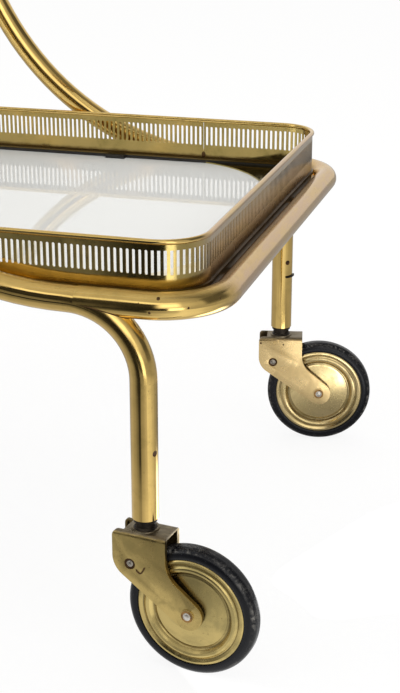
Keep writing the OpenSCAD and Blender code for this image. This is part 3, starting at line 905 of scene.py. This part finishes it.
@dataclass(frozen=True)
class Form:
    """Points and faces of a piece, in metres, in the cart's frame."""

    points: list[Vector]
    faces: list[tuple[int, ...]]

    @staticmethod
    def join(forms: "Sequence[Form]") -> "Form":
        """Puts several forms into one.

        Args:
            forms: Forms to join.

        Returns:
            The joined form.
        """
        points: list[Vector] = []
        faces: list[tuple[int, ...]] = []
        for form in forms:
            faces += [tuple(index + len(points) for index in face) for face in form.faces]
            points += form.points
        return Form(points, faces)

    @staticmethod
    def turned(profile: Profile, place: Matrix, sides: int = 32) -> "Form":
        """Turns a profile about the Z axis of a place.

        Args:
            profile: Radius and height of each ring in millimetres, from the middle outwards.
            place: Where the axis stands, in metres.
            sides: Number of steps round.

        Returns:
            The turned form.
        """
        points: list[Vector] = []
        for radius, height in profile:
            for step in range(sides):
                angle = math.tau * step / sides
                spot = Vector((radius * math.cos(angle), radius * math.sin(angle), height))
                points.append(place @ (spot * MM))
        return Form(points, Form.quads(len(profile), sides, True))

    @staticmethod
    def quads(rings: int, sides: int, upward: bool) -> list[tuple[int, ...]]:
        """Faces between rings of points.

        Args:
            rings: Number of rings.
            sides: Points in each.
            upward: Whether a face first goes to the next ring, or first along its own.

        Returns:
            The faces, four points each.
        """
        faces = []
        for low in range(0, (rings - 1) * sides, sides):
            for step in range(sides):
                after = (step + 1) % sides
                own, next_own = low + step, low + after
                above, next_above = own + sides, next_own + sides
                if upward:
                    faces.append((own, above, next_above, next_own))
                else:
                    faces.append((own, next_own, next_above, above))
        return faces

    @staticmethod
    def bead(route: Sequence[Vector], radius: float, sides: int = 8) -> "Form":
        """Lays a round bead along a route, drawn in to a point at both ends.

        Args:
            route: Points of its middle, in metres.
            radius: Its radius in metres.
            sides: Number of steps round.

        Returns:
            The bead.
        """
        points: list[Vector] = []
        last = len(route) - 1
        for index, middle in enumerate(route):
            ahead = (route[min(index + 1, last)] - route[max(index - 1, 0)]).normalized()
            across = ahead.orthogonal() if index == 0 else across - ahead * across.dot(ahead)
            across.normalize()
            over = ahead.cross(across)
            size = radius * (BEAD_END if index in (0, last) else 1.0)
            for step in range(sides):
                angle = math.tau * step / sides
                points.append(middle + (across * math.cos(angle) + over * math.sin(angle)) * size)
        faces = Form.quads(len(route), sides, False)
        faces += [tuple(range(sides))[::-1], tuple(range(last * sides, (last + 1) * sides))]
        return Form(points, faces)

    def piece(self, name: str, body: str, material: bpy.types.Material, slot: str) -> None:
        """Makes the form a piece of the cart.

        Args:
            name: Name of the piece.
            body: Body that carries it.
            material: Its finish.
            slot: Material slot of the record that it belongs to; not used.
        """
        mesh = bpy.data.meshes.new(name)
        mesh.from_pydata([tuple(point) for point in self.points], [], self.faces)
        mesh.materials.append(material)
        shape = bmesh.new()
        shape.from_mesh(mesh)
        bmesh.ops.remove_doubles(shape, verts=shape.verts, dist=WELD)
        bmesh.ops.recalc_face_normals(shape, faces=shape.faces)
        shape.to_mesh(mesh)
        shape.free()
        for face in mesh.polygons:
            face.use_smooth = True
        thing = show(name, mesh)
        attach(thing, body)
        LOG.info("built %s on %s", name, body)


def softened(
    node: str, name: str, body: str, width: float, material: bpy.types.Material,
) -> None:
    """Copies a CAD node with its sharp edges rounded, in its place.

    Args:
        node: Name of the node.
        name: Name of the piece.
        body: Body that carries it.
        width: Width of the rounding in metres.
        material: Its finish.
    """
    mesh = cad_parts[node].data.copy()
    mesh.name = name
    mesh.materials.clear()
    mesh.materials.append(material)
    shape = bmesh.new()
    shape.from_mesh(mesh)
    bmesh.ops.remove_doubles(shape, verts=shape.verts, dist=CAD_WELD)
    bmesh.ops.dissolve_limit(shape, angle_limit=FLAT, verts=shape.verts, edges=shape.edges)
    shape.to_mesh(mesh)
    shape.free()
    for face in mesh.polygons:
        face.material_index = 0
        face.use_smooth = True
    thing = show(name, mesh)
    rounding = thing.modifiers.new("rounding", "BEVEL")
    rounding.width = width
    rounding.segments = ROUNDING_STEPS
    rounding.limit_method = "ANGLE"
    rounding.angle_limit = SHARP
    rounding.harden_normals = True
    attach(thing, body)
    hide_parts(node)
    LOG.info("softened %s as %s", node, name)


@dataclass
class TubeFrame:
    """Uprights, bows, webs, rests and what is inside the legs."""

    finishes: Finishes
    leg_y: float = 218.0
    tube_r: float = 10.0
    lower_z: float = 282.0
    cope_x: float = 273.0
    cope_bow: float = 2240.0
    bend_x: float = 330.0
    bend_y: float = 170.0
    bend_r: float = 48.0
    seam_r: float = 0.45
    seam_steps: int = 24
    seam_angles: Pair = (4.0, 176.0)
    marks: tuple[Triple, ...] = (
        (13.0, 50.0, 1.5), (7.0, -11.0, 1.1), (34.0, 6.0, 0.9), (-1.0, 26.0, 0.6),
        (60.0, 20.0, 0.8),
    )
    mark_sunk: float = 0.12
    mark_sides: int = 14
    mark_crown: tuple[Pair, ...] = ((0.0, 0.2), (0.6, 0.17), (1.0, 0.0))

    def build(self) -> None:
        """Dresses the frame's nodes and adds its braze and marks."""
        for corner in Corner:
            dress(f"{corner.label}_upright", self.finishes.frame)
        for tier in Tier:
            for end in ("right", "left"):
                dress(f"{tier.value}_{end}_bow", self.finishes.bow)
            dress(f"{tier.value}_tray_rests", self.finishes.brazed)
        dress("centre_webs", self.finishes.brazed)
        dress("stem_sockets", self.finishes.socket)
        dress("socket_screws", self.finishes.screw)
        dress("leg_clips", self.finishes.dark)
        self.braze_lines()
        self.bow_marks()

    def braze_lines(self) -> None:
        """The thin crease of braze where the lower bows are coped to the legs."""
        seams = []
        first, last = self.seam_angles
        for corner in Corner:
            route = []
            for step in range(self.seam_steps + 1):
                angle = -math.radians(first + (last - first) * step / self.seam_steps)
                drop = -math.sin(angle)
                reach = self.cope_x + math.sqrt(self.cope_bow * drop)
                route.append(Vector((
                    corner.side_x * reach,
                    corner.side_y * (self.leg_y + self.tube_r * math.cos(angle)),
                    self.lower_z - self.tube_r * drop,
                )) * MM)
            seams.append(Form.bead(route, self.seam_r * MM))
        Form.join(seams).piece("lower_braze_lines", "frame", self.finishes.rust, "frame_brass")

    def bow_marks(self) -> None:
        """Small dark marks on the front right bend of the lower bow."""
        marks = []
        for turn, rise, size in self.marks:
            facing, up = math.radians(turn), math.radians(rise)
            across, along = math.sin(facing), -math.cos(facing)
            middle = Vector((
                self.bend_x + self.bend_r * across,
                -self.bend_y + self.bend_r * along,
                self.lower_z,
            ))
            outward = Vector((across * math.cos(up), along * math.cos(up), math.sin(up)))
            foot = (middle + outward * (self.tube_r - self.mark_sunk)) * MM
            place = Matrix.Translation(foot) @ outward.to_track_quat("Z", "Y").to_matrix().to_4x4()
            crown = [(size * share, height) for share, height in self.mark_crown]
            marks.append(Form.turned(crown, place, self.mark_sides))
        Form.join(marks).piece("lower_bow_marks", "frame", self.finishes.rust, "frame_brass")


@dataclass
class GalleryTray:
    """One tray: pierced gallery, bead, channel, rubber, gussets and glass."""

    tier: Tier
    finishes: Finishes
    seam_x: float = 252.3
    inside_y: float = 204.0
    foot_z: float = 291.0
    solder: Profile = field(default_factory=lambda: [
        (0.0, 0.9), (0.9, 0.8), (1.6, 0.5), (2.1, -0.2),
    ])
    solder_height: float = 1.5
    solder_sides: int = 18

    def build(self) -> None:
        """Dresses the tray's nodes and adds its solder."""
        worn = {
            "gallery_sides": self.finishes.gallery,
            "gallery_ends": self.finishes.gallery,
            "gallery_bead": self.finishes.bead,
            "glass_channel": self.finishes.channel,
            "glass_gasket": self.finishes.rubber,
            "glass_pads": self.finishes.rubber,
            "corner_gussets": self.finishes.gusset,
            "glass": self.finishes.glass,
        }
        for part, material in worn.items():
            dress(f"{self.tier.value}_{part}", material)
        self.solder_spot()

    def solder_spot(self) -> None:
        """Brown solder at the foot of the open seam, on the inside."""
        foot = Vector((self.seam_x, self.inside_y, self.foot_z)) * MM
        if self.tier is Tier.UPPER:
            foot.z += TIER_RISE
        place = (
            Matrix.Translation(foot)
            @ Matrix.Rotation(QUARTER, 4, "X")
            @ Matrix.Diagonal((1.0, self.solder_height, 1.0, 1.0))
        )
        spot = Form.turned(self.solder, place, self.solder_sides)
        tier = self.tier.value
        spot.piece(f"{tier}_seam_solder", f"{tier}_tray", self.finishes.rust, "gallery_brass")


@dataclass
class Caster:
    """One caster: stem, fork, rivets and wheel."""

    corner: Corner
    finishes: Finishes
    leg_x: float = 329.0
    leg_y: float = 218.0
    trail: float = 39.2
    axle_z: float = 51.5
    turn_in_photo: float = 8.25
    turn_behind: float = 12.0
    rivet: Pair = (-7.3, 84.3)
    cheek_w: float = 12.5
    fork_edge: float = 0.8
    gouge_r: float = 0.6
    gouge: tuple[Pair, ...] = (
        (-2.4, 81.2), (-1.6, 79.8), (-0.3, 78.6), (1.1, 78.0),
        (2.6, 79.0), (3.9, 81.6), (4.8, 83.4), (5.4, 84.2),
    )
    holes: tuple[Triple, ...] = ((2.8, 103.1, 0.9), (-19.6, 104.2, 1.2))
    hole_sides: int = 16
    hole_flat: float = 0.8
    proud: float = 0.04
    sunk: float = 0.05
    # painted light: darker copies of the fork brass for the front right caster and lighter ones for
    # the back right, for how each is lit
    fork_painted_light_tones: dict[Corner, tuple[Colour, Colour]] = field(default_factory=lambda: {
        Corner.FRONT_RIGHT: ((0.62, 0.46, 0.17), (0.46, 0.35, 0.13)),
        Corner.BACK_RIGHT: ((0.84, 0.62, 0.30), (0.70, 0.52, 0.25)),
    })
    # painted light: the same darker and lighter copies for the hub discs
    hub_painted_light_tones: dict[Corner, tuple[Colour, Colour]] = field(default_factory=lambda: {
        Corner.FRONT_RIGHT: ((0.64, 0.49, 0.19), (0.40, 0.32, 0.13)),
        Corner.BACK_RIGHT: ((0.80, 0.62, 0.31), (0.60, 0.47, 0.22)),
    })
    rivet_head: Profile = field(default_factory=lambda: [
        (0.0, 12.95), (1.1, 12.8), (2.0, 12.4), (2.6, 11.9), (2.75, 11.4),
    ])
    # painted shadow: a dark ring laid over the dimple round each rivet head
    rivet_shadow_ring: Profile = field(default_factory=lambda: [
        (2.6, 11.54), (3.9, 11.55), (4.34, 11.75), (4.37, 12.48),
    ])
    axle_head: Profile = field(default_factory=lambda: [
        (0.0, 14.4), (1.4, 14.25), (2.4, 13.9), (3.0, 13.5), (3.12, 12.9),
    ])
    axle_ring: Profile = field(default_factory=lambda: [(3.1, 13.36), (4.2, 13.38), (4.8, 13.31)])

    @property
    def heading(self) -> float:
        """Direction in which the wheel trails.

        Returns:
            The angle from +X, in radians.
        """
        side = self.corner.side_x * self.corner.side_y
        turn = self.turn_in_photo if side < 0 else self.turn_behind
        out = self.corner.side_y * turn
        return math.radians(out if self.corner.side_x > 0 else 180.0 - out)

    @property
    def stand(self) -> Matrix:
        """The caster's own frame: X along the trail, Y across it, Z up, on the swivel axis."""
        foot = Vector((self.corner.side_x * self.leg_x, self.corner.side_y * self.leg_y, 0.0)) * MM
        return Matrix.Translation(foot) @ Matrix.Rotation(self.heading, 4, "Z")

    def wheel_place(self) -> WheelPlace:
        """Where the axle of this wheel lies."""
        centre = self.stand @ (Vector((self.trail, 0.0, self.axle_z)) * MM)
        return WheelPlace(tuple(centre), (-math.sin(self.heading), math.cos(self.heading), 0.0))

    def cheek(self, along: float, up: float, side: int) -> Matrix:
        """A place in the caster's middle plane with its Z axis out through one cheek.

        Args:
            along: Distance along the trail in millimetres.
            up: Height in millimetres.
            side: 1 or -1 for the cheek.

        Returns:
            The place.
        """
        middle = Matrix.Translation(Vector((along, 0.0, up)) * MM)
        return self.stand @ middle @ Matrix.Rotation(-QUARTER * side, 4, "X")

    def on_both_cheeks(self, profile: Profile, along: float, up: float) -> Form:
        """The same turned form on both cheeks.

        Args:
            profile: Radius and distance from the middle plane, in millimetres.
            along: Distance along the trail in millimetres.
            up: Height in millimetres.

        Returns:
            The two forms as one.
        """
        return Form.join([Form.turned(profile, self.cheek(along, up, side)) for side in (-1, 1)])

    def build(self) -> None:
        """Dresses the caster's nodes and adds its rounded fork, its rivet heads with painted shadow
        rings round them, and its wear.
        """
        label, body, place = self.corner.label, f"{self.corner.label}_swivel", self.wheel_place()
        hub_painted_light_tones = self.hub_painted_light_tones.get(self.corner, ())
        fork_painted_light_tones = self.fork_painted_light_tones.get(self.corner, ())
        worn = {
            "stem": self.finishes.dark,
            "fork_rivet": self.finishes.steel,
            "axle": self.finishes.steel,
            "hub_discs": HubBrass(f"{label}_hub_brass", place, *hub_painted_light_tones).material(),
            "hub_bush": self.finishes.steel,
            "tyre": TyreRubber(f"{label}_tyre_rubber", place).material(),
        }
        for part, material in worn.items():
            dress(f"{label}_{part}", material)
        fork = ForkBrass(f"{label}_fork_brass", place, *fork_painted_light_tones).material()
        softened(
            f"{label}_fork", f"{label}_fork_sheet", body, self.fork_edge * MM, fork,
        )
        axle = (self.trail, self.axle_z)
        for part, profile, spot, material, slot in (
            ("rivet_heads", self.rivet_head, self.rivet, self.finishes.rivet, "steel"),
            # painted shadow in the dimples round the rivet heads
            ("rivet_shadow_rings", self.rivet_shadow_ring, self.rivet, self.finishes.rust, "fork_brass"),
            ("axle_heads", self.axle_head, axle, self.finishes.steel, "steel"),
            ("axle_rings", self.axle_ring, axle, self.finishes.orange, "fork_brass"),
        ):
            self.on_both_cheeks(profile, *spot).piece(f"{label}_{part}", body, material, slot)
        if self.corner is Corner.FRONT_RIGHT:
            self.cheek_gouge().piece(f"{label}_cheek_gouge", body, self.finishes.rust, "fork_brass")
        if self.corner is Corner.BACK_RIGHT:
            self.cheek_holes().piece(f"{label}_cheek_holes", body, self.finishes.rust, "fork_brass")

    def cheek_gouge(self) -> Form:
        """Hooked gouge below the rivet of the near cheek.

        Returns:
            The gouge.
        """
        near = -self.cheek_w - self.proud / 2
        route = [self.stand @ (Vector((along, near, up)) * MM) for along, up in self.gouge]
        return Form.bead(route, self.gouge_r * MM)

    def cheek_holes(self) -> Form:
        """Two small dark holes near the top of the near cheek.

        Returns:
            The two holes as one form.
        """
        proud, sunk = self.cheek_w + self.proud, self.cheek_w - self.sunk
        spots = []
        for along, up, size in self.holes:
            cap = [(0.0, proud), (size * self.hole_flat, proud), (size, sunk)]
            spots.append(Form.turned(cap, self.cheek(along, up, -1), self.hole_sides))
        return Form.join(spots)


@dataclass(frozen=True)
class Softbox:
    """A lamp with a soft face."""

    name: str
    place: Triple
    size: Pair
    power: float
    mirrored: bool

    def hang(self, aim: Triple) -> None:
        """Hangs the lamp so that it looks at a point.

        Args:
            aim: The point, in metres.
        """
        data = bpy.data.lights.new(self.name, "AREA")
        data.shape = "RECTANGLE"
        data.size, data.size_y = self.size
        data.energy = self.power
        lamp = show(self.name, data)
        lamp.location = self.place
        lamp.visible_glossy = self.mirrored
        towards = Vector(aim) - Vector(self.place)
        lamp.rotation_euler = towards.to_track_quat("-Z", "Y").to_euler()


@dataclass
class Studio:
    """Camera, floor, soft light and white surroundings."""

    eye: Triple = (0.6355, -1.1355, 0.609)
    yaw: float = 0.2811
    pitch: float = 0.3543
    focal_pixels: float = 1470.9
    image_height: int = 693
    film: float = 36.0
    sight: Pair = (0.02, 60.0)
    floor_half: float = 14.0
    floor_grey: float = 0.86
    floor_white: float = 0.88
    light_tint: Colour = (1.0, 0.985, 0.96)
    soft_light: float = 0.95
    aim: Triple = (0.15, 0.0, 0.35)
    softboxes: tuple[Softbox, ...] = (
        Softbox("right_softbox", (2.4, -1.2, 1.5), (1.6, 1.8), 16.0, False),
        Softbox("left_softbox", (-1.9, -1.9, 1.6), (1.2, 1.6), 10.0, True),
        Softbox("top_softbox", (0.2, 0.3, 2.6), (3.4, 2.6), 24.0, False),
    )
    floor_centre: Pair = (0.33, -0.2)
    floor_rings: list[Ring] = field(default_factory=lambda: [
        Ring(0.0, 0.0, [
            (-180.0, 0.70), (-90.0, 0.80), (-60.0, 0.85), (-40.0, 1.10), (-15.0, 1.00),
            (30.0, 0.60), (90.0, 0.65), (180.0, 0.70),
        ]),
        Ring(0.12, 0.17, [
            (-180.0, 0.60), (-130.0, 0.50), (-118.0, 0.40), (-104.0, 0.34), (-92.0, 0.60),
            (-60.0, 0.85), (-40.0, 1.10), (-15.0, 1.00), (28.0, 0.60), (38.0, 4.00),
            (56.0, 4.00), (68.0, 0.80), (90.0, 0.72), (180.0, 0.65),
        ]),
        Ring(0.28, 0.40, [
            (-180.0, 0.55), (-150.0, 0.42), (-120.0, 0.22), (-112.0, 0.05), (-101.0, 0.05),
            (-95.0, 0.36), (-80.0, 0.44), (-55.0, 0.66), (-44.0, 1.05), (-22.0, 0.95),
            (0.0, 0.70), (35.0, 0.40), (70.0, 0.24), (110.0, 0.40), (180.0, 0.55),
        ]),
        Ring(0.48, 0.62, [
            (-180.0, 0.50), (-150.0, 0.36), (-130.0, 0.16), (-121.0, 0.02), (-97.0, 0.02),
            (-91.0, 0.36), (-80.0, 0.44), (-55.0, 0.66), (-44.0, 1.05), (-22.0, 0.95),
            (0.0, 0.70), (35.0, 0.48), (70.0, 0.42), (180.0, 0.50),
        ]),
        Ring(0.74, 0.88, [
            (-180.0, 0.50), (-150.0, 0.45), (-122.0, 0.26), (-113.0, 0.22), (-110.0, 0.02),
            (-70.0, 0.02), (-65.0, 2.40), (-50.0, 2.40), (-41.0, 0.55), (-28.0, 0.48),
            (0.0, 0.45), (35.0, 0.48), (70.0, 0.42), (180.0, 0.50),
        ]),
    ])
    room_rings: list[Ring] = field(default_factory=lambda: [
        Ring(0.0, 0.0, [
            (-180.0, 0.45), (-160.0, 0.30), (-140.0, 0.20), (-122.0, 0.12), (-117.0, 0.03),
            (-90.0, 0.03), (-76.0, 1.10), (-54.0, 1.10), (-42.0, 0.62), (-18.0, 0.50),
            (-8.0, 0.20), (24.0, 0.20), (40.0, 0.60), (80.0, 0.85), (125.0, 0.95), (160.0, 0.50),
            (180.0, 0.45),
        ]),
        Ring(0.10, 0.18, [
            (-180.0, 0.45), (-150.0, 0.25), (-122.0, 0.10), (-117.0, 0.04), (-90.0, 0.04),
            (-74.0, 1.90), (-56.0, 1.90), (-46.0, 0.75), (-18.0, 0.55), (-8.0, 0.12),
            (24.0, 0.12), (40.0, 0.60), (80.0, 0.85), (125.0, 0.95), (160.0, 0.50),
            (180.0, 0.45),
        ]),
        Ring(0.46, 0.53, [
            (-180.0, 0.45), (-140.0, 0.35), (-122.0, 0.90), (-110.0, 1.50), (-60.0, 1.40),
            (-42.0, 0.62), (-20.0, 0.46), (-6.0, 0.12), (40.0, 0.10), (60.0, 0.55), (90.0, 0.90),
            (130.0, 0.90), (180.0, 0.45),
        ]),
        Ring(0.64, 0.72, [
            (-180.0, 0.72), (-150.0, 0.78), (-120.0, 0.62), (-60.0, 0.60), (-35.0, 0.50),
            (-12.0, 0.38), (2.0, 0.18), (45.0, 0.22), (75.0, 0.50), (110.0, 0.70), (150.0, 0.80),
            (180.0, 0.72),
        ]),
    ])

    def set_camera(self) -> None:
        """Places the camera where the photograph was taken from."""
        data = bpy.data.cameras.new("photo_camera")
        data.sensor_width = self.film
        data.lens = self.focal_pixels * self.film / self.image_height
        data.clip_start, data.clip_end = self.sight
        camera = show("photo_camera", data)
        ahead = Vector((
            -math.sin(self.yaw) * math.cos(self.pitch),
            math.cos(self.yaw) * math.cos(self.pitch),
            -math.sin(self.pitch),
        ))
        right = Vector((math.cos(self.yaw), math.sin(self.yaw), 0.0))
        up = right.cross(ahead)
        turn = Matrix((right, up, -ahead)).transposed().to_4x4()
        camera.matrix_world = Matrix.Translation(Vector(self.eye)) @ turn
        bpy.context.scene.camera = camera

    def set_world(self) -> None:
        """White where the camera looks, soft light for the cart, and a room for its reflections."""
        sketch = ShaderSketch("studio", world=True)
        x, y, z = sketch.split(sketch.add("ShaderNodeTexCoord").outputs["Generated"])
        level = sketch.rings(sketch.maths("ARCTAN2", y, x), z, self.room_rings)
        path = sketch.add("ShaderNodeLightPath")
        glossy = path.outputs["Is Glossy Ray"]
        strength = sketch.total(
            sketch.product(level, glossy), sketch.product(sketch.rest(glossy), self.soft_light),
        )
        soft = sketch.add("ShaderNodeBackground", {"Color": self.light_tint, "Strength": strength})
        white = sketch.add("ShaderNodeBackground", {"Color": WHITE})
        bpy.context.scene.world = sketch.end(sketch.either(
            path.outputs["Is Camera Ray"], soft.outputs[0], white.outputs[0],
        ))

    def set_floor(self) -> None:
        """A white floor that keeps the cart's shadow and looks uneven in reflections."""
        mesh = bpy.data.meshes.new("studio_floor")
        half = self.floor_half
        corners = [(-half, -half, 0.0), (half, -half, 0.0), (half, half, 0.0), (-half, half, 0.0)]
        mesh.from_pydata(corners, [], [(0, 1, 2, 3)])
        floor = show("studio_floor", mesh)
        sketch = ShaderSketch("white_floor")
        x, y, _ = sketch.split(sketch.where)
        x = sketch.maths("SUBTRACT", x, self.floor_centre[0])
        y = sketch.maths("SUBTRACT", y, self.floor_centre[1])
        reach = sketch.maths("SQRT", sketch.total(sketch.product(x, x), sketch.product(y, y)))
        level = sketch.rings(sketch.maths("ARCTAN2", y, x), reach, self.floor_rings)
        path = sketch.add("ShaderNodeLightPath")
        camera = path.outputs["Is Camera Ray"]
        matt = sketch.add("ShaderNodeBsdfDiffuse", {"Color": (self.floor_grey,) * 3})
        strength = sketch.larger(camera, level)
        glow = sketch.add("ShaderNodeEmission", {"Color": WHITE, "Strength": strength})
        seen = sketch.total(sketch.product(camera, self.floor_white), path.outputs["Is Glossy Ray"])
        shader = sketch.either(seen, matt.outputs[0], glow.outputs[0])
        mesh.materials.append(sketch.end(shader))

    def build(self) -> None:
        """Sets up everything round the cart but the camera."""
        bpy.context.scene.view_settings.view_transform = "Standard"
        self.set_world()
        self.set_floor()
        for softbox in self.softboxes:
            softbox.hang(self.aim)


def main() -> None:
    """Builds the studio and every sub-assembly in order."""
    logging.basicConfig(level=logging.INFO, format="%(name)s: %(message)s")
    studio = Studio()
    studio.set_camera()
    finishes = Finishes()
    TubeFrame(finishes).build()
    for tier in Tier:
        GalleryTray(tier, finishes).build()
    for corner in Corner:
        Caster(corner, finishes).build()
    studio.build()


if __name__ == "__main__":
    main()
